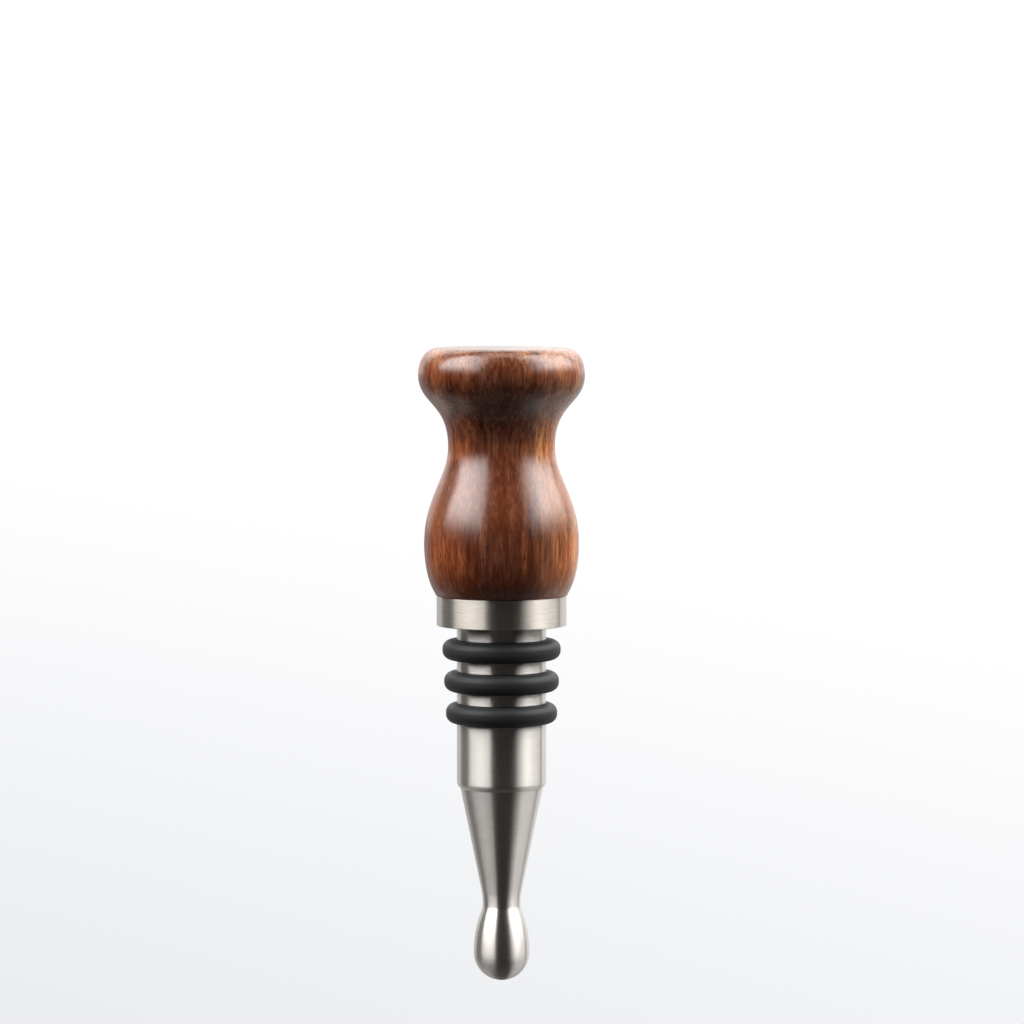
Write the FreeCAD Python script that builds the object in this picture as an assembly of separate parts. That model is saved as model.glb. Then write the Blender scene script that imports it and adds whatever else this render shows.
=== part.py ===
import FreeCAD, Part
import math
import os

# Stopper with a turned wooden handle on a steel plug, in millimetres.
# The axis is +Z. The origin is the centre of the collar's underside, which rests on the rim of
# the mouth that the plug closes. The handle stands above it and the plug's shank hangs below.

# The bore of the mouth, and how far the collar laps over its rim
BORE_DIAMETER = 18.5
COLLAR_OVERLAP = 1.95

# Wooden handle, from its foot on the collar up to the flat top of its knob
FOOT_OVERHANG = 0.25
FOOT_CHAMFER = 0.35
FOOT_LEAN_DEGREES = 33.0
FOOT_TO_BELLY = 8.9
BELLY_DIAMETER = 26.7
BELLY_TO_WAIST = 16.7
WAIST_DIAMETER = 18.4
WAIST_TO_KNOB = 12.5
KNOB_DIAMETER = 28.7
KNOB_RIM_RISE = 4.6
KNOB_FLAT_DIAMETER = 21.4

# How full the handle's curves are: each is the share of a curve's rise along which the curve
# clings to the circle that it starts or ends at
FOOT_FULLNESS = 0.3
BELLY_LOWER_FULLNESS = 0.2
BELLY_UPPER_FULLNESS = 0.48
WAIST_LOWER_FULLNESS = 0.31
WAIST_UPPER_FULLNESS = 0.62
KNOB_FULLNESS = 0.42
RIM_FULLNESS = 0.6

# Steel collar and the fluted core below it, which hangs clear of the bore all round
COLLAR_HEIGHT = 5.15
COLLAR_EDGE_CHAMFER = 0.15
CORE_CLEARANCE = 1.55
CORE_ROOT_CHAMFER = 0.4
CORE_BELOW_SEALS = 10.6
CORE_END_CHAMFER = 0.6

# Silicone sealing rings: the bore squeezes each one all round, and the lower ones less, so that
# they wedge as they go in
TOP_SEAL_DEPTH = 2.5
TOP_SEAL_SQUEEZE = 0.95
SEAL_SQUEEZE_STEP = 0.3
SEAL_WIDTH = 3.4
SEAL_SPACING = 5.5
SEAL_SHOULDER = 0.9
SEAL_NAMES = ("seal_ring_upper", "seal_ring_middle", "seal_ring_lower")
FLUTE_DEPTH = 1.0
FLUTE_SIDE_CLEARANCE = 0.1

# Straight taper below the core, the thin neck, and the olive-shaped tip that leads the plug in
TAPER_LENGTH = 17.9
TAPER_END_DIAMETER = 6.9
NECK_LENGTH = 2.6
NECK_DIAMETER = 6.5
TIP_DIAMETER = 9.6
TIP_FLARE_LENGTH = 8.2
TIP_NECK_FULLNESS = 0.1
TIP_FLARE_FULLNESS = 0.62

# Double-ended stud that joins the handle to the plug, and the blind holes drilled for it
STUD_DIAMETER = 8.0
STUD_IN_HANDLE = 14.0
STUD_IN_PLUG = 11.0
STUD_END_CHAMFER = 0.8
STUD_RADIAL_CLEARANCE = 0.05
DRILL_RUN_OUT = 1.0
DRILL_POINT_DEGREES = 118.0

# Sizes that follow
BORE_RADIUS = BORE_DIAMETER / 2
COLLAR_RADIUS = BORE_RADIUS + COLLAR_OVERLAP
CORE_RADIUS = BORE_RADIUS - CORE_CLEARANCE
FLUTE_RADIUS = CORE_RADIUS - FLUTE_DEPTH
HOLE_RADIUS = STUD_DIAMETER / 2 + STUD_RADIAL_CLEARANCE
DRILL_POINT = HOLE_RADIUS / math.tan(math.radians(DRILL_POINT_DEGREES / 2))


class Outline:
    """Half section of a turned piece: edges drawn in radius and height, then spun round the axis."""

    def __init__(self, radius, height):
        self.start = FreeCAD.Vector(radius, 0, height)
        self.pen = self.start
        self.edges = []

    def line_to(self, radius, height):
        end = FreeCAD.Vector(radius, 0, height)
        self.edges.append(Part.LineSegment(self.pen, end).toShape())
        self.pen = end

    def curve_to(self, radius, height, leaving, arriving):
        """Cubic curve that leaves towards one point and arrives from another."""
        end = FreeCAD.Vector(radius, 0, height)
        handles = [FreeCAD.Vector(r, 0, z) for r, z in (leaving, arriving)]
        curve = Part.BezierCurve()
        curve.setPoles([self.pen, *handles, end])
        self.edges.append(curve.toShape())
        self.pen = end

    def swell_to(self, radius, height, leaving_fullness, arriving_fullness):
        """Curve that leaves one circle and arrives at another parallel to the axis."""
        rise = height - self.pen.z
        leaving = (self.pen.x, self.pen.z + rise * leaving_fullness)
        arriving = (radius, height - rise * arriving_fullness)
        self.curve_to(radius, height, leaving, arriving)

    def dome_to_axis(self):
        """Quarter circle from the widest circle down to the axis."""
        radius = self.pen.x
        end = FreeCAD.Vector(0, 0, self.pen.z - radius)
        eighth = math.radians(45)
        through = self.pen + FreeCAD.Vector(
            radius * (math.cos(eighth) - 1), 0, -radius * math.sin(eighth)
        )
        self.edges.append(Part.Arc(self.pen, through, end).toShape())
        self.pen = end

    def turned(self):
        self.line_to(self.start.x, self.start.z)
        section = Part.Face(Part.Wire(self.edges))
        return section.revolve(FreeCAD.Vector(0, 0, 0), FreeCAD.Vector(0, 0, 1), 360)


def wooden_handle():
    """Knob, waist and belly in one turned profile, drilled from the foot for the stud."""
    foot_radius = COLLAR_RADIUS + FOOT_OVERHANG
    flank_start = COLLAR_HEIGHT + FOOT_CHAMFER
    belly_radius = BELLY_DIAMETER / 2
    belly_height = COLLAR_HEIGHT + FOOT_TO_BELLY
    waist_height = belly_height + BELLY_TO_WAIST
    knob_radius = KNOB_DIAMETER / 2
    knob_height = waist_height + WAIST_TO_KNOB
    flat_radius = KNOB_FLAT_DIAMETER / 2
    top = knob_height + KNOB_RIM_RISE
    hole_end = COLLAR_HEIGHT + STUD_IN_HANDLE + DRILL_RUN_OUT

    outline = Outline(HOLE_RADIUS, COLLAR_HEIGHT)
    outline.line_to(foot_radius - FOOT_CHAMFER, COLLAR_HEIGHT)
    outline.line_to(foot_radius, flank_start)
    flank_rise = belly_height - flank_start
    flank_reach = flank_rise * FOOT_FULLNESS
    flank_lean = flank_reach * math.tan(math.radians(FOOT_LEAN_DEGREES))
    outline.curve_to(
        belly_radius,
        belly_height,
        leaving=(foot_radius + flank_lean, flank_start + flank_reach),
        arriving=(belly_radius, belly_height - flank_rise * BELLY_LOWER_FULLNESS),
    )
    outline.swell_to(WAIST_DIAMETER / 2, waist_height, BELLY_UPPER_FULLNESS, WAIST_LOWER_FULLNESS)
    outline.swell_to(knob_radius, knob_height, WAIST_UPPER_FULLNESS, KNOB_FULLNESS)
    outline.curve_to(
        flat_radius,
        top,
        leaving=(knob_radius, knob_height + KNOB_RIM_RISE * RIM_FULLNESS),
        arriving=(flat_radius + (knob_radius - flat_radius) * RIM_FULLNESS, top),
    )
    outline.line_to(0, top)
    outline.line_to(0, hole_end + DRILL_POINT)
    outline.line_to(HOLE_RADIUS, hole_end)
    return outline.turned()


def add_collar(outline):
    """Straight-sided collar with its edges just broken, from the top face to the core's root."""
    inset = COLLAR_RADIUS - COLLAR_EDGE_CHAMFER
    outline.line_to(inset, COLLAR_HEIGHT)
    outline.line_to(COLLAR_RADIUS, COLLAR_HEIGHT - COLLAR_EDGE_CHAMFER)
    outline.line_to(COLLAR_RADIUS, COLLAR_EDGE_CHAMFER)
    outline.line_to(inset, 0)
    outline.line_to(CORE_RADIUS + CORE_ROOT_CHAMFER, 0)
    outline.line_to(CORE_RADIUS, -CORE_ROOT_CHAMFER)


def add_fluted_core(outline):
    """Straight core with a square flute for each sealing ring."""
    for index in range(len(SEAL_NAMES)):
        ring_top = -(TOP_SEAL_DEPTH + index * SEAL_SPACING)
        upper = ring_top + FLUTE_SIDE_CLEARANCE
        lower = ring_top - SEAL_WIDTH - FLUTE_SIDE_CLEARANCE
        outline.line_to(CORE_RADIUS, upper)
        outline.line_to(FLUTE_RADIUS, upper)
        outline.line_to(FLUTE_RADIUS, lower)
        outline.line_to(CORE_RADIUS, lower)
    outline.line_to(CORE_RADIUS, outline.pen.z - CORE_BELOW_SEALS)


def add_tail(outline):
    """Straight taper into a hollow-curved neck, then the olive-shaped tip."""
    taper_radius = CORE_RADIUS - CORE_END_CHAMFER
    taper_end_radius = TAPER_END_DIAMETER / 2
    neck_radius = NECK_DIAMETER / 2
    taper_start = outline.pen.z - CORE_END_CHAMFER
    taper_end = taper_start - TAPER_LENGTH
    neck = taper_end - NECK_LENGTH
    outline.line_to(taper_radius, taper_start)
    outline.line_to(taper_end_radius, taper_end)
    narrowing = (taper_radius - taper_end_radius) / TAPER_LENGTH
    reach = NECK_LENGTH / 3
    outline.curve_to(
        neck_radius,
        neck,
        leaving=(taper_end_radius - reach * narrowing, taper_end - reach),
        arriving=(neck_radius, neck + reach),
    )
    outline.swell_to(
        TIP_DIAMETER / 2, neck - TIP_FLARE_LENGTH, TIP_NECK_FULLNESS, TIP_FLARE_FULLNESS
    )
    outline.dome_to_axis()


def plug():
    """Collar, fluted core, tapered tail and tip in one turned piece, drilled from above."""
    hole_end = COLLAR_HEIGHT - STUD_IN_PLUG - DRILL_RUN_OUT
    outline = Outline(HOLE_RADIUS, COLLAR_HEIGHT)
    add_collar(outline)
    add_fluted_core(outline)
    add_tail(outline)
    outline.line_to(0, hole_end - DRILL_POINT)
    outline.line_to(HOLE_RADIUS, hole_end)
    return outline.turned()


def seal_ring(index):
    """Moulded ring that fills its flute, with a flat land between two sloping shoulders."""
    upper = -(TOP_SEAL_DEPTH + index * SEAL_SPACING)
    lower = upper - SEAL_WIDTH
    radius = BORE_RADIUS + TOP_SEAL_SQUEEZE - index * SEAL_SQUEEZE_STEP
    inset = radius - SEAL_SHOULDER
    outline = Outline(FLUTE_RADIUS, lower)
    outline.line_to(inset, lower)
    outline.line_to(radius, lower + SEAL_SHOULDER)
    outline.line_to(radius, upper - SEAL_SHOULDER)
    outline.line_to(inset, upper)
    outline.line_to(FLUTE_RADIUS, upper)
    return outline.turned()


def threaded_stud():
    """Stud at its thread's outer diameter, screwed into both pieces, with its ends chamfered."""
    radius = STUD_DIAMETER / 2
    inset = radius - STUD_END_CHAMFER
    upper = COLLAR_HEIGHT + STUD_IN_HANDLE
    lower = COLLAR_HEIGHT - STUD_IN_PLUG
    outline = Outline(0, lower)
    outline.line_to(inset, lower)
    outline.line_to(radius, lower + STUD_END_CHAMFER)
    outline.line_to(radius, upper - STUD_END_CHAMFER)
    outline.line_to(inset, upper)
    outline.line_to(0, upper)
    return outline.turned()


pieces = {
    "wooden_handle": wooden_handle(),
    "threaded_stud": threaded_stud(),
    "plug": plug(),
}
for seal_index, seal_name in enumerate(SEAL_NAMES):
    pieces[seal_name] = seal_ring(seal_index)

os.makedirs("parts", exist_ok=True)
for name, solid in pieces.items():
    solid.exportStep(f"parts/{name}.step")
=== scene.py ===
import bpy
import math
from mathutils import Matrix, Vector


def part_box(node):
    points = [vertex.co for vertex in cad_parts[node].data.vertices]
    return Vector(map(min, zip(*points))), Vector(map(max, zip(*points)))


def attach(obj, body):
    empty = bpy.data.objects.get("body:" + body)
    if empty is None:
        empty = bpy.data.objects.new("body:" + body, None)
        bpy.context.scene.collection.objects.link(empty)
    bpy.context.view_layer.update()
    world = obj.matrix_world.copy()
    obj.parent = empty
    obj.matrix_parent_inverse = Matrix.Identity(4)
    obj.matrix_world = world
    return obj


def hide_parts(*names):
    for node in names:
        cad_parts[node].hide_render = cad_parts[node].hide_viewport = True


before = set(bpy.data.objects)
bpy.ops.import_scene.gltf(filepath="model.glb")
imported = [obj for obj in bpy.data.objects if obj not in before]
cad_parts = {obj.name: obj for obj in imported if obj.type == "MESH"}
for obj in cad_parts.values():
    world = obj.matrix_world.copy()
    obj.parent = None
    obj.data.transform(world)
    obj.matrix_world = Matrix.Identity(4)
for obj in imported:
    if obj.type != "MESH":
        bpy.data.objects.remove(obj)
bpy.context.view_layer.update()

# The camera: a long lens a little above the collar, looking slightly down on it, as a small
# turned piece is shown for sale. The piece stands a touch left of the middle.
MM = 0.001
SENSOR_WIDTH = 36.0
PICTURE_WIDTH = 1024
FOCAL_LENGTH_IN_PIXELS = 4370
CAMERA_PLACE = (1.8 * MM, -751 * MM, 67.3 * MM)
CAMERA_PITCH_DEGREES = 3.64
CAMERA_SEES_TO = 40.0
PRINT_GAMMA = 0.835

bpy.ops.object.select_all(action="DESELECT")
bpy.ops.object.camera_add(
    location=CAMERA_PLACE, rotation=(math.radians(90 - CAMERA_PITCH_DEGREES), 0, 0)
)
camera = bpy.context.object
camera.name = "studio_camera"
camera.data.sensor_width = SENSOR_WIDTH
camera.data.lens = FOCAL_LENGTH_IN_PIXELS * SENSOR_WIDTH / PICTURE_WIDTH
camera.data.clip_end = CAMERA_SEES_TO
bpy.context.scene.camera = camera
bpy.context.scene.view_settings.view_transform = "Standard"
bpy.context.scene.view_settings.gamma = PRINT_GAMMA

# The handle: one piece of reddish-brown wood, turned to a belly, a waist and a flat-topped knob,
# then stained and sprayed with satin lacquer. Drilled from the foot, it is screwed down on the
# stud until it closes on the collar. Sizes are in millimetres, heights from the collar's underside.
PER_MM = 1 / MM
FOOT_RADIUS = 11.45
FOOT_FLANK_RISE = 0.35
FOOT_LEAN_DEGREES = 33.0
BELLY_RADIUS = 13.35
BELLY_HEIGHT = 14.05
WAIST_RADIUS = 9.2
WAIST_HEIGHT = 30.75
KNOB_HEIGHT = 43.25
KNOB_FLAT_RADIUS = 10.7
STUD_HOLE_RADIUS = 4.05
HANDLE_HOLE_END = 20.15
DRILL_POINT_DEGREES = 118.0
DRILL_POINT = STUD_HOLE_RADIUS / math.tan(math.radians(DRILL_POINT_DEGREES / 2))
FOOT_ROUNDING = 0.3

# How full the handle's curves are: how long each end keeps its direction, as a share of the rise
FOOT_FULLNESS = 0.3
BELLY_LOWER_FULLNESS = 0.2
BELLY_UPPER_FULLNESS = 0.48
WAIST_LOWER_FULLNESS = 0.31
WAIST_UPPER_FULLNESS = 0.62
KNOB_FULLNESS = 0.42
RIM_FULLNESS = 0.6

# How fine the meshes are: what counts as one place, and the angle up to which faces blend
SAME_PLACE = 0.01
SAME_POINT = 0.002
SMOOTH_ANGLE_DEGREES = 30


class TurnedOutline:
    """The half section of a turned piece, drawn vertex by vertex and spun round the axis."""

    def __init__(self, name, radius, height):
        bpy.ops.object.select_all(action="DESELECT")
        bpy.ops.mesh.primitive_plane_add(size=MM)
        self.piece = bpy.context.object
        self.piece.name = self.piece.data.name = name
        bpy.ops.object.mode_set(mode="EDIT")
        bpy.ops.mesh.merge(type="CENTER")
        bpy.ops.transform.translate(value=(radius * MM, 0, height * MM))
        self.radius = radius
        self.height = height

    def line_to(self, radius, height):
        step = ((radius - self.radius) * MM, 0, (height - self.height) * MM)
        bpy.ops.mesh.extrude_vertices_move(TRANSFORM_OT_translate={"value": step})
        self.radius = radius
        self.height = height

    def curve_to(self, radius, height, leaving, arriving, steps):
        """Cubic curve that leaves towards one point and arrives from another."""
        corners = ((self.radius, self.height), leaving, arriving, (radius, height))
        for index in range(1, steps + 1):
            t = index / steps
            shares = ((1 - t) ** 3, 3 * t * (1 - t) ** 2, 3 * t**2 * (1 - t), t**3)
            self.line_to(
                sum(share * corner[0] for share, corner in zip(shares, corners)),
                sum(share * corner[1] for share, corner in zip(shares, corners)),
            )

    def swell_to(self, radius, height, leaving_fullness, arriving_fullness, steps):
        """Curve that leaves one circle and arrives at another parallel to the axis."""
        rise = height - self.height
        leaving = (self.radius, self.height + rise * leaving_fullness)
        arriving = (radius, height - rise * arriving_fullness)
        self.curve_to(radius, height, leaving, arriving, steps)

    def round_corner(self, radius, height, rounding, segments=4):
        """Rounds the outline's corner at one place."""
        bpy.ops.mesh.select_all(action="DESELECT")
        bpy.ops.object.mode_set(mode="OBJECT")
        for vertex in self.piece.data.vertices:
            away = math.hypot(vertex.co.x - radius * MM, vertex.co.z - height * MM)
            vertex.select = away < SAME_PLACE * MM
        bpy.ops.object.mode_set(mode="EDIT")
        bpy.ops.mesh.bevel(offset=rounding * MM, segments=segments, affect="VERTICES")

    def spun(self, steps):
        """Turns the outline into the finished piece. Straight runs keep their plain shading."""
        bpy.ops.mesh.select_all(action="SELECT")
        bpy.ops.mesh.remove_doubles(threshold=SAME_POINT * MM)
        bpy.ops.object.mode_set(mode="OBJECT")
        bpy.ops.object.modifier_add(type="SCREW")
        lathe = self.piece.modifiers[-1]
        lathe.steps = lathe.render_steps = steps
        lathe.use_merge_vertices = True
        lathe.merge_threshold = SAME_POINT * MM
        bpy.ops.object.modifier_apply(modifier=lathe.name)
        bpy.ops.object.mode_set(mode="EDIT")
        bpy.ops.mesh.select_all(action="SELECT")
        bpy.ops.mesh.remove_doubles(threshold=SAME_POINT * MM)
        bpy.ops.mesh.normals_make_consistent(inside=False)
        bpy.ops.object.mode_set(mode="OBJECT")
        bpy.ops.object.shade_smooth_by_angle(angle=math.radians(SMOOTH_ANGLE_DEGREES))
        bpy.ops.object.modifier_add(type="WEIGHTED_NORMAL")
        evening = self.piece.modifiers[-1]
        evening.keep_sharp = True
        bpy.ops.object.modifier_apply(modifier=evening.name)
        return self.piece


class Paint:
    """One output in a shader. A sum or product of outputs and numbers adds its Math nodes."""

    def __init__(self, tree, socket=None):
        self.tree = tree
        self.socket = socket

    def node(self, kind, settings, inputs, output=0):
        """Adds a node: its settings first, then a value or a link for each socket named."""
        made = self.tree.nodes.new(kind)
        for name, value in settings.items():
            if name == "stops":
                for stop, (place, colour) in zip(made.color_ramp.elements, value):
                    stop.position = place
                    stop.color = colour
                for place, colour in value[2:]:
                    made.color_ramp.elements.new(place).color = colour
            else:
                setattr(made, name, value)
        for name, value in inputs.items():
            if isinstance(value, Paint):
                self.tree.links.new(value.socket, made.inputs[name])
            else:
                made.inputs[name].default_value = value
        return Paint(self.tree, made.outputs[output] if made.outputs else None)

    def maths(self, operation, first, second):
        return self.node("ShaderNodeMath", {"operation": operation}, {0: first, 1: second})

    def __add__(self, other):
        return self.maths("ADD", self, other)

    def __radd__(self, other):
        return self.maths("ADD", other, self)

    def __sub__(self, other):
        return self.maths("SUBTRACT", self, other)

    def __rsub__(self, other):
        return self.maths("SUBTRACT", other, self)

    def __mul__(self, other):
        return self.maths("MULTIPLY", self, other)

    def __rmul__(self, other):
        return self.maths("MULTIPLY", other, self)

    def along(self, axis):
        """How far along X, Y or Z this place is."""
        return self.node("ShaderNodeSeparateXYZ", {}, {0: self}, axis)

    def blended(self, first, second, way="MIX"):
        """Two colours mixed by this factor."""
        settings = {"data_type": "RGBA", "blend_type": way}
        return self.node("ShaderNodeMix", settings, {0: self, 6: first, 7: second}, 2)

    def step(self, low, high):
        """0 below one value and 1 above the other, with a soft change between them."""
        settings = {"interpolation_type": "SMOOTHSTEP"}
        return self.node(
            "ShaderNodeMapRange", settings, {"Value": self, "From Min": low, "From Max": high}
        )

    def between(self, start, end):
        """1 from one pair of values to the other, with a soft change over each pair."""
        return self.step(*start) - self.step(*end)


def new_finish(name):
    """An empty material, with the Paint that its nodes are added through."""
    material = bpy.data.materials.new(name)
    material.use_nodes = True
    material.node_tree.nodes.clear()
    return material, Paint(material.node_tree)


def lay_on(paint, sockets):
    """Makes the surface from these values and links."""
    surface = paint.node("ShaderNodeBsdfPrincipled", {}, sockets)
    paint.node("ShaderNodeOutputMaterial", {}, {"Surface": surface})


def place_on_piece(paint):
    """The place on the piece, in metres."""
    return paint.node("ShaderNodeTexCoord", {}, {}, "Object")


def stretched(paint, per_mm, turn=(0, 0, 0), start=(0, 0, 0)):
    """The place on the piece, in units of so many per millimetre along each axis."""
    return paint.node(
        "ShaderNodeMapping",
        {},
        {
            "Vector": place_on_piece(paint),
            "Location": start,
            "Rotation": turn,
            "Scale": tuple(count * PER_MM for count in per_mm),
        },
    )


def noise(paint, vector, detail, roughness=0.5, distortion=0.0):
    return paint.node(
        "ShaderNodeTexNoise",
        {},
        {
            "Vector": vector,
            "Scale": 1.0,
            "Detail": detail,
            "Roughness": roughness,
            "Distortion": distortion,
        },
    )


def relief(paint, height, depth, strength):
    """Fine unevenness of the surface, so many millimetres deep."""
    return paint.node(
        "ShaderNodeBump", {}, {"Strength": strength, "Distance": depth * MM, "Height": height}
    )


handle_low, handle_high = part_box("wooden_handle")
collar_height = handle_low.z * PER_MM
handle_top = handle_high.z * PER_MM
knob_radius = handle_high.x * PER_MM
flank_start = collar_height + FOOT_FLANK_RISE
flank_rise = BELLY_HEIGHT - flank_start
flank_reach = flank_rise * FOOT_FULLNESS
flank_lean = flank_reach * math.tan(math.radians(FOOT_LEAN_DEGREES))

outline = TurnedOutline("turned_handle", 0, handle_top)
outline.line_to(KNOB_FLAT_RADIUS, handle_top)
outline.curve_to(
    knob_radius,
    KNOB_HEIGHT,
    leaving=(KNOB_FLAT_RADIUS + (knob_radius - KNOB_FLAT_RADIUS) * RIM_FULLNESS, handle_top),
    arriving=(knob_radius, KNOB_HEIGHT + (handle_top - KNOB_HEIGHT) * RIM_FULLNESS),
    steps=24,
)
outline.swell_to(WAIST_RADIUS, WAIST_HEIGHT, KNOB_FULLNESS, WAIST_UPPER_FULLNESS, steps=32)
outline.swell_to(BELLY_RADIUS, BELLY_HEIGHT, WAIST_LOWER_FULLNESS, BELLY_UPPER_FULLNESS, steps=32)
outline.curve_to(
    FOOT_RADIUS,
    flank_start,
    leaving=(BELLY_RADIUS, BELLY_HEIGHT - flank_rise * BELLY_LOWER_FULLNESS),
    arriving=(FOOT_RADIUS + flank_lean, flank_start + flank_reach),
    steps=20,
)
outline.line_to(FOOT_RADIUS, collar_height)
outline.line_to(STUD_HOLE_RADIUS, collar_height)
outline.line_to(STUD_HOLE_RADIUS, HANDLE_HOLE_END)
outline.line_to(0, HANDLE_HOLE_END + DRILL_POINT)
outline.round_corner(FOOT_RADIUS, collar_height, FOOT_ROUNDING)
handle = outline.spun(steps=192)

# The wood's own colours, from its darkest streaks to its lightest, and its grain. Each pattern
# gives its waves or pores per millimetre: across, across, and along the grain.
DARK_WOOD = (0.078, 0.0190, 0.0072, 1)
MIDDLE_WOOD = (0.250, 0.0675, 0.0225, 1)
LIGHT_WOOD = (0.430, 0.1650, 0.0640, 1)
PORE_WOOD = (0.028, 0.0100, 0.0050, 1)
DARK_TONE = 0.40
MIDDLE_TONE = 0.52
LIGHT_TONE = 0.65
GRAIN_LEAN = (math.radians(2.0), math.radians(-1.5), math.radians(20))
LAYERS = (0.42, 0.16, 0.012)
FIBRES = (3.6, 3.6, 0.4)
STREAKS = (1.5, 1.5, 0.13)
PATCHES = (0.25, 0.25, 0.08)
LONG_PORES = (2.2, 2.2, 0.36)
FINE_PORES = (4.2, 4.2, 1.3)
LAYERS_START = (13.5, 21.2, 5.8)
STREAKS_START = (15.4, -3.8, 2.7)
PORES_START = (-27.1, -5.5, 1.2)
LAYER_SHARE = 0.30
FIBRE_SHARE = 0.24
STREAK_SHARE = 0.38
PATCH_SHARE = 0.12
CONTRAST = 1.15
LONG_PORE_WIDTHS = (0.05, 0.34)
FINE_PORE_WIDTHS = (0.05, 0.35)
PORE_DEPTH = 0.012

# The tints over that, with where each comes in or fades out, in millimetres up or across. Those
# across wander along with the wood's layers. Some are the wood's own colour and some are painted
# light and shade, as each one says.
WANDER = 6
# Darker band down the middle: heartwood, and also painted shade where the middle faces the dark camera
# side.
HEARTWOOD_AND_SHADE = (0.70, 0.72, 0.88, 1)
CENTRE_BAND_SIDES = ((-8, -2), (3, 7))
# Paler right side: sapwood, and also painted light on the side that the right soft box falls on. It is
# held back in the shoulder band, where the highlights fall, and near the top.
SAPWOOD_AND_LIGHT = (1.80, 2.20, 2.00, 1)
PALE_RIGHT_SIDE = (3, 9)
PALE_RIGHT_TOP = (33, 40)
# Warmer left side: the wood's colour, and also painted to take out the grey sheen that the lights
# leave on that side.
WARM_LEFT_TINT = (1.00, 0.88, 0.66, 1)
WARM_SIDE = (-12, -7)
# Painted highlight colour: less red in the shoulder band beside the middle, where the soft boxes'
# highlights fall, so that they read creamier.
PAINTED_HIGHLIGHT_TINT = (0.84, 0.94, 1.00, 1)
SHOULDER_ENDS = ((13, 19), (26, 31))
# Painted sheen: the knob's rim paler and cooler, standing for the lacquer's glare there.
PAINTED_RIM_SHEEN = (0.95, 1.16, 1.30, 1)
RIM_START = (44, 47)
# The flat top face: end grain, and also painted duller so that the white glare on it reads cream.
END_GRAIN_AND_GLARE = (0.60, 0.72, 0.80, 1)
TOP_FACE_START = (47.2, 47.8)
# Painted shade: the foot darker where little light reaches under the belly. The grain there is calmer
# too.
PAINTED_FOOT_SHADE = (0.46, 0.50, 0.70, 1)
FOOT_END = (4, 12)
CALM_FOOT_END = (7, 14)
# Painted shade: the hollow under the knob darker, most of all high up under its overhang.
PAINTED_HOLLOW_SHADE = (0.72, 0.80, 0.97, 1)
HOLLOW_START = (31.2, 33)
HOLLOW_DEEP = (35, 38)
HOLLOW_END = (41, 44)
# A lighter band round the waist.
LIGHTER_WAIST = (1.16, 1.20, 1.16, 1)
WAIST_ENDS = ((28, 29.5), (31, 32))


def pore_marks(paint, per_mm, widths, start=(0, 0, 0)):
    """Short dark dashes along the grain, one to a cell, dark up to one width and gone at the other."""
    cells = paint.node(
        "ShaderNodeTexVoronoi",
        {"feature": "F1"},
        {"Vector": stretched(paint, per_mm, GRAIN_LEAN, start), "Scale": 1.0, "Randomness": 1.0},
        "Distance",
    )
    return 1 - cells.step(*widths)


wood, paint = new_finish("lacquered_wood")
layers = noise(
    paint,
    stretched(paint, LAYERS, GRAIN_LEAN, LAYERS_START),
    detail=3,
    roughness=0.55,
    distortion=0.4,
)
fibres = noise(paint, stretched(paint, FIBRES, GRAIN_LEAN), detail=3, roughness=0.65)
streaks = noise(
    paint, stretched(paint, STREAKS, GRAIN_LEAN, STREAKS_START), detail=3, roughness=0.6
)
patches = noise(paint, stretched(paint, PATCHES, start=LAYERS_START), detail=2)

upward = place_on_piece(paint).along("Z") * PER_MM
across = place_on_piece(paint).along("X") * PER_MM + layers * WANDER - WANDER / 2
shoulder = upward.between(*SHOULDER_ENDS)
calm_foot = 1 - upward.step(*CALM_FOOT_END)
centre_band = across.between(*CENTRE_BAND_SIDES)
hollow = upward.step(*HOLLOW_START) * 0.7 + upward.step(*HOLLOW_DEEP) * 0.3
tints = (
    (centre_band, HEARTWOOD_AND_SHADE),
    (across.step(*PALE_RIGHT_SIDE) * (1 - 0.5 * shoulder - 0.85 * upward.step(*PALE_RIGHT_TOP)), SAPWOOD_AND_LIGHT),
    (1 - across.step(*WARM_SIDE), WARM_LEFT_TINT),
    (shoulder * (1 - centre_band), PAINTED_HIGHLIGHT_TINT),
    (upward.step(*RIM_START), PAINTED_RIM_SHEEN),
    (upward.step(*TOP_FACE_START), END_GRAIN_AND_GLARE),
    (1 - upward.step(*FOOT_END), PAINTED_FOOT_SHADE),
    (hollow - upward.step(*HOLLOW_END), PAINTED_HOLLOW_SHADE),
    (upward.between(*WAIST_ENDS), LIGHTER_WAIST),
)

tone = layers * LAYER_SHARE + fibres * FIBRE_SHARE + streaks * STREAK_SHARE + patches * PATCH_SHARE
tone = MIDDLE_TONE + (tone - MIDDLE_TONE) * (CONTRAST - 0.4 * shoulder - 0.55 * calm_foot)
ramp = [(DARK_TONE, DARK_WOOD), (MIDDLE_TONE, MIDDLE_WOOD), (LIGHT_TONE, LIGHT_WOOD)]
colour = tone.node("ShaderNodeValToRGB", {"stops": ramp}, {"Fac": tone})
for where, tint in tints:
    colour = where.blended(colour, tint, "MULTIPLY")

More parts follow.
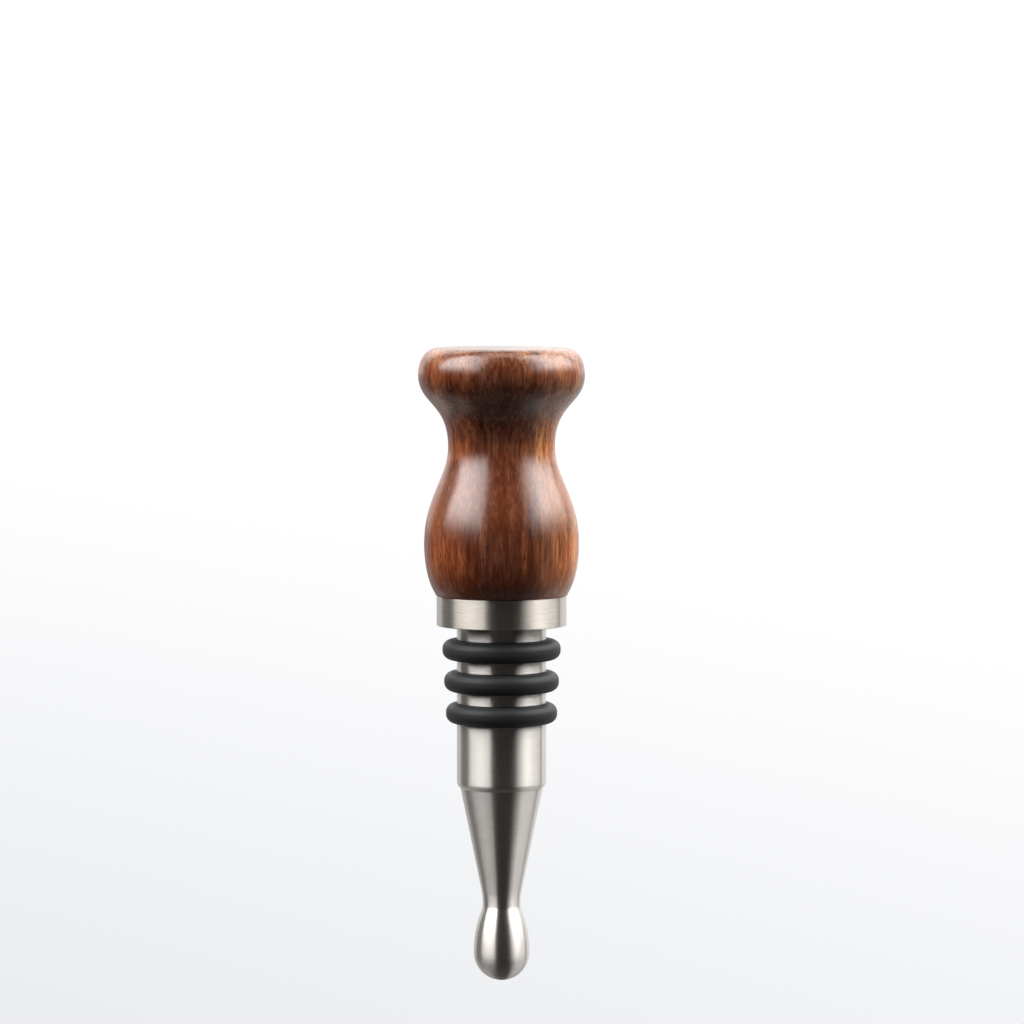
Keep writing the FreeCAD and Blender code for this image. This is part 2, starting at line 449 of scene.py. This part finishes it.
long_pores = pore_marks(paint, LONG_PORES, LONG_PORE_WIDTHS, PORES_START)
fine_pores = pore_marks(paint, FINE_PORES, FINE_PORE_WIDTHS)
pores = long_pores * (0.35 + 0.65 * layers.step(0.42, 0.58)) + fine_pores * 0.34
pores = pores * (1 - 0.35 * shoulder - 0.4 * calm_foot)
lay_on(
    paint,
    {
        "Base Color": pores.blended(colour, PORE_WOOD),
        "Roughness": 0.5 + fibres * 0.12,
        "Specular IOR Level": 0.0,
        "Coat Weight": 1.0 - pores * 0.25,
        "Coat Roughness": 0.24,
        "Coat IOR": 1.78,
        "Normal": relief(paint, fibres * 0.3 - pores, PORE_DEPTH, strength=0.4),
    },
)
handle.data.materials.append(wood)
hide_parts("wooden_handle")
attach(handle, "root")

# The plug: stainless steel, turned in one piece from bar. The collar laps over the rim and is
# brushed round; below it come the core with a flute for each ring, a straight taper, a thin neck
# and the olive-shaped tip that leads it in, all polished.
RING_PLACES = ("upper", "middle", "lower")
CORE_RADIUS = 7.7
FLUTE_RADIUS = 6.7
FLUTE_SIDE_CLEARANCE = 0.1
CORE_END = -27.6
TAPER_START = (7.1, -28.2)
TAPER_END = (3.45, -46.1)
NECK = (3.25, -48.7)
NECK_FULLNESS = 0.1
TIP_RADIUS = 4.8
TIP_FULLNESS = 0.62
TIP_STEPS = 16
PLUG_HOLE_END = -6.85
COLLAR_ROUNDING = 0.15
CORE_ROOT_ROUNDING = 0.35
CORE_END_ROUNDING = 0.5

plug_low, plug_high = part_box("plug")
collar_radius = plug_high.x * PER_MM
tip_height = plug_low.z * PER_MM + TIP_RADIUS
narrowing = (TAPER_START[0] - TAPER_END[0]) / (TAPER_START[1] - TAPER_END[1])
neck_reach = (TAPER_END[1] - NECK[1]) / 3

outline = TurnedOutline("steel_plug", 0, PLUG_HOLE_END - DRILL_POINT)
outline.line_to(STUD_HOLE_RADIUS, PLUG_HOLE_END)
outline.line_to(STUD_HOLE_RADIUS, collar_height)
outline.line_to(collar_radius, collar_height)
outline.line_to(collar_radius, 0)
outline.line_to(CORE_RADIUS, 0)
for ring_place in RING_PLACES:
    ring_low, ring_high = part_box(f"seal_ring_{ring_place}")
    flute_top = ring_high.z * PER_MM + FLUTE_SIDE_CLEARANCE
    flute_foot = ring_low.z * PER_MM - FLUTE_SIDE_CLEARANCE
    outline.line_to(CORE_RADIUS, flute_top)
    outline.line_to(FLUTE_RADIUS, flute_top)
    outline.line_to(FLUTE_RADIUS, flute_foot)
    outline.line_to(CORE_RADIUS, flute_foot)
outline.line_to(CORE_RADIUS, CORE_END)
outline.line_to(*TAPER_START)
outline.line_to(*TAPER_END)
outline.curve_to(
    *NECK,
    leaving=(TAPER_END[0] - neck_reach * narrowing, TAPER_END[1] - neck_reach),
    arriving=(NECK[0], NECK[1] + neck_reach),
    steps=8,
)
outline.swell_to(TIP_RADIUS, tip_height, NECK_FULLNESS, TIP_FULLNESS, steps=24)
for tip_step in range(1, TIP_STEPS + 1):
    angle = math.radians(90) * tip_step / TIP_STEPS
    outline.line_to(TIP_RADIUS * math.cos(angle), tip_height - TIP_RADIUS * math.sin(angle))
outline.round_corner(collar_radius, collar_height, COLLAR_ROUNDING, segments=3)
outline.round_corner(collar_radius, 0, COLLAR_ROUNDING, segments=3)
outline.round_corner(CORE_RADIUS, 0, CORE_ROOT_ROUNDING, segments=3)
outline.round_corner(CORE_RADIUS, CORE_END, CORE_END_ROUNDING)
plug = outline.spun(steps=160)


def turned_steel(name, per_mm, marks, darkest, lightest, depth, strength, dullness):
    """Steel with fine marks all round, which draw each reflection out along the axis."""
    metal, paint = new_finish(name)
    turning = noise(paint, stretched(paint, per_mm), **marks)
    lay_on(
        paint,
        {
            "Base Color": turning.blended(darkest, lightest),
            "Metallic": 1.0,
            "Roughness": dullness[0] + turning * dullness[1],
            "Anisotropic": 1.0,
            "Anisotropic Rotation": 0.25,
            "Normal": relief(paint, turning, depth, strength),
        },
    )
    return metal


brushed_steel = turned_steel(
    "brushed_steel",
    per_mm=(0.3, 0.3, 6.0),
    marks={"detail": 4, "roughness": 0.7},
    darkest=(0.40, 0.370, 0.335, 1),
    lightest=(0.78, 0.730, 0.675, 1),
    depth=0.004,
    strength=0.5,
    dullness=(0.29, 0.12),
)
polished_steel = turned_steel(
    "polished_steel",
    per_mm=(0.3, 0.3, 5.0),
    marks={"detail": 3, "roughness": 0.6},
    darkest=(0.62, 0.59, 0.56, 1),
    lightest=(0.76, 0.73, 0.69, 1),
    depth=0.003,
    strength=0.3,
    dullness=(0.3, 0.1),
)
plug.data.materials.append(brushed_steel)
plug.data.materials.append(polished_steel)
for face in plug.data.polygons:
    in_collar = face.center.z > SAME_PLACE * MM
    face.material_index = 0 if in_collar else 1
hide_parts("plug")
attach(plug, "root")

# The stud: a short length of zinc-plated steel rod, threaded from end to end. It holds the handle
# on the plug and can't be seen when the stopper is together.
DARK_ZINC = (0.42, 0.43, 0.42, 1)
LIGHT_ZINC = (0.62, 0.62, 0.58, 1)

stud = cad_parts["threaded_stud"]
zinc, paint = new_finish("zinc_plating")
spangle = noise(paint, stretched(paint, (2, 2, 2)), detail=3)
lay_on(
    paint,
    {
        "Base Color": spangle.blended(DARK_ZINC, LIGHT_ZINC),
        "Metallic": 1.0,
        "Roughness": 0.3 + spangle * 0.15,
    },
)
stud.data.materials.clear()
stud.data.materials.append(zinc)

# The sealing rings: black silicone, moulded to three sizes and stretched over the core into their
# flutes, the largest at the top. Each has a flat land between two sloping shoulders.
RING_SHOULDER = 0.9
RING_ROUNDING = 0.55
DARK_SILICONE = (0.018, 0.018, 0.019, 1)
LIGHT_SILICONE = (0.036, 0.036, 0.038, 1)

silicone, paint = new_finish("black_silicone")
speckle = noise(paint, stretched(paint, (6, 6, 6)), detail=3)
lay_on(
    paint,
    {
        "Base Color": speckle.blended(DARK_SILICONE, LIGHT_SILICONE),
        "Roughness": 0.5 + speckle * 0.12,
        "Normal": relief(paint, speckle, depth=0.01, strength=0.4),
    },
)
for ring_place in RING_PLACES:
    ring_low, ring_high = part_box(f"seal_ring_{ring_place}")
    ring_foot = ring_low.z * PER_MM
    ring_top = ring_high.z * PER_MM
    radius = ring_high.x * PER_MM
    corners = (
        (radius - RING_SHOULDER, ring_foot),
        (radius, ring_foot + RING_SHOULDER),
        (radius, ring_top - RING_SHOULDER),
        (radius - RING_SHOULDER, ring_top),
    )
    outline = TurnedOutline(f"silicone_ring_{ring_place}", FLUTE_RADIUS, ring_foot)
    for corner in corners:
        outline.line_to(*corner)
    outline.line_to(FLUTE_RADIUS, ring_top)
    outline.line_to(FLUTE_RADIUS, ring_foot)
    for corner in corners:
        outline.round_corner(*corner, RING_ROUNDING, segments=6)
    ring = outline.spun(steps=128)
    ring.data.materials.append(silicone)
    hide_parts(f"seal_ring_{ring_place}")
    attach(ring, "root")

# The floor: pale seamless paper, laid flat well below the piece, swept up all round into a white
# backdrop with no line between them, and closed overhead. Only the camera sees it. The paper
# glows by itself instead of being lit, and its fade to grey on the floor is painted shade.
FLOOR_HEIGHT = -620
FLOOR_RADIUS = 1500
BACKDROP_RADIUS = 4200
SWEEP_TOP = 500
SWEEP_STEPS = 32
CEILING = 2600
FLOOR_SHADE_GLOW = (0.80, 0.81, 0.84, 1)
WHITE_PAPER = (1, 1, 1, 1)
PAPER_BRIGHTNESS = 1.02
FADE_LEAN = 0.16
FADE_START = -0.78
FADE_END = -0.12

outline = TurnedOutline("studio_floor", 0, FLOOR_HEIGHT)
outline.line_to(FLOOR_RADIUS, FLOOR_HEIGHT)
for sweep_step in range(1, SWEEP_STEPS + 1):
    angle = math.radians(90) * sweep_step / SWEEP_STEPS
    outline.line_to(
        FLOOR_RADIUS + (BACKDROP_RADIUS - FLOOR_RADIUS) * math.sin(angle),
        SWEEP_TOP - (SWEEP_TOP - FLOOR_HEIGHT) * math.cos(angle),
    )
outline.line_to(BACKDROP_RADIUS, CEILING)
outline.line_to(0, CEILING)
floor = outline.spun(steps=64)

paper, paint = new_finish("seamless_paper_glow")
place = place_on_piece(paint)
# Painted shade: the glow is greyer down on the floor and white up the backdrop, leaning across.
fading = (place.along("Z") + FADE_LEAN * place.along("X")).step(FADE_START, FADE_END)
glow = paint.node(
    "ShaderNodeEmission",
    {},
    {"Color": fading.blended(FLOOR_SHADE_GLOW, WHITE_PAPER), "Strength": PAPER_BRIGHTNESS},
)
paint.node("ShaderNodeOutputMaterial", {}, {"Surface": glow})
floor.data.materials.append(paper)
floor.visible_diffuse = False
floor.visible_glossy = False
floor.visible_transmission = False
floor.visible_volume_scatter = False
floor.visible_shadow = False

# The light: a tall soft box on each side of the camera, so that each draws one soft highlight on
# the knob and one on the belly. White walls behind the piece draw its pale edges, and dim cards,
# a round ceiling light and the glow of the table fill in the rest of a dim studio.
LIGHT_DISTANCE = 1.0
CEILING_LIGHT_WIDTH = 0.72
TABLE_GLOW_WIDTH = 1.6
DIM_STUDIO = (0.032, 0.031, 0.030, 1)


def new_lamp(name, shape, location, turn, width, height, brightness):
    """A flat lamp that the camera doesn't see. Its brightness is that of its face."""
    bpy.ops.object.select_all(action="DESELECT")
    bpy.ops.object.light_add(type="AREA", location=location, rotation=turn)
    lamp = bpy.context.object
    lamp.name = name
    lamp.data.shape = shape
    lamp.data.size = width
    lamp.data.size_y = height
    area = width * height * (math.pi / 4 if shape == "DISK" else 1)
    lamp.data.energy = brightness * math.pi * area
    lamp.visible_camera = False
    return lamp


def soft_box(name, azimuths, elevations, brightness, cloth=None):
    """An upright lamp that fills these angles, in degrees, seen from the piece. Its cloth gives the
    share of the brightness at each place, from shares of the width and the height."""
    azimuth = math.radians(sum(azimuths) / 2)
    foot, head = (LIGHT_DISTANCE * math.tan(math.radians(angle)) for angle in elevations)
    lamp = new_lamp(
        name,
        "RECTANGLE",
        location=(
            LIGHT_DISTANCE * math.sin(azimuth),
            -LIGHT_DISTANCE * math.cos(azimuth),
            (foot + head) / 2,
        ),
        turn=(math.radians(90), 0, azimuth),
        width=2 * LIGHT_DISTANCE * math.tan(math.radians(azimuths[1] - azimuths[0]) / 2),
        height=head - foot,
        brightness=brightness,
    )
    if cloth:
        lamp.data.use_nodes = True
        lamp.data.node_tree.nodes.clear()
        paint = Paint(lamp.data.node_tree)
        place = paint.node("ShaderNodeNewGeometry", {}, {}, "Parametric")
        strength = cloth(place.along("X"), place.along("Y"))
        glow = paint.node("ShaderNodeEmission", {}, {"Strength": strength})
        paint.node("ShaderNodeOutputLight", {}, {"Surface": glow})


def left_cloth(across, up):
    """Dimmer at its foot, at its inner side and a little at its head."""
    return up.step(0, 0.17) * (1 - 0.38 * across.step(0.45, 0.95)) * (1 - 0.22 * up.step(0.3, 1.0))


def right_cloth(across, up):
    """Dimmer at its foot and its head, and fades to nothing towards the camera."""
    inner = across.step(0.06, 0.56) * (1 - 0.25 * across.step(0.55, 0.68))
    return up.step(0, 0.17) * inner * (1 - 0.22 * up.step(0.3, 1.0))


def wall_cloth(across, up):
    """Dimmer at its foot."""
    return 0.52 + 0.48 * up.step(0.09, 0.33)


def front_cloth(across, up):
    """Brightest beside the left box."""
    return 0.4 + 0.6 * (1 - across.step(0.0, 0.45))


soft_box("left_soft_box", (-98, -30), (4, 70), 6.6, left_cloth)
soft_box("right_soft_box", (30, 124), (4, 70), 7.0, right_cloth)
soft_box("back_left_low", (-150, -98), (-65, -25), 0.4)
soft_box("back_left_middle", (-132, -98), (-25, 20), 0.2)
soft_box("back_left_high", (-132, -98), (20, 60), 0.7)
soft_box("white_wall_left_low", (-180, -132), (-60, -25), 0.5)
soft_box("white_wall_left", (-180, -132), (-25, 1), 0.56)
soft_box("white_wall_left_high", (-180, -132), (1, 60), 2.3, wall_cloth)
soft_box("white_wall_right_low", (128, 180), (-60, -25), 0.35)
soft_box("white_wall_right", (128, 180), (-25, 1), 0.84)
soft_box("white_wall_right_high", (128, 180), (1, 60), 2.7, wall_cloth)
soft_box("right_low", (60, 124), (-70, 10), 0.3)
soft_box("back_right_low", (98, 150), (-65, -25), 0.5)
soft_box("front_low", (-30, 30), (-20, 10), 0.17, front_cloth)
new_lamp(
    "ceiling_light",
    "DISK",
    location=(0, 0, LIGHT_DISTANCE),
    turn=(0, 0, 0),
    width=CEILING_LIGHT_WIDTH,
    height=CEILING_LIGHT_WIDTH,
    brightness=1.5,
)
new_lamp(
    "table_glow",
    "DISK",
    location=(0, 0, -LIGHT_DISTANCE),
    turn=(math.pi, 0, 0),
    width=TABLE_GLOW_WIDTH,
    height=TABLE_GLOW_WIDTH,
    brightness=0.12,
)

studio = bpy.data.worlds.new("dim_studio")
studio.use_nodes = True
studio.node_tree.nodes["Background"].inputs["Color"].default_value = DIM_STUDIO
bpy.context.scene.world = studio
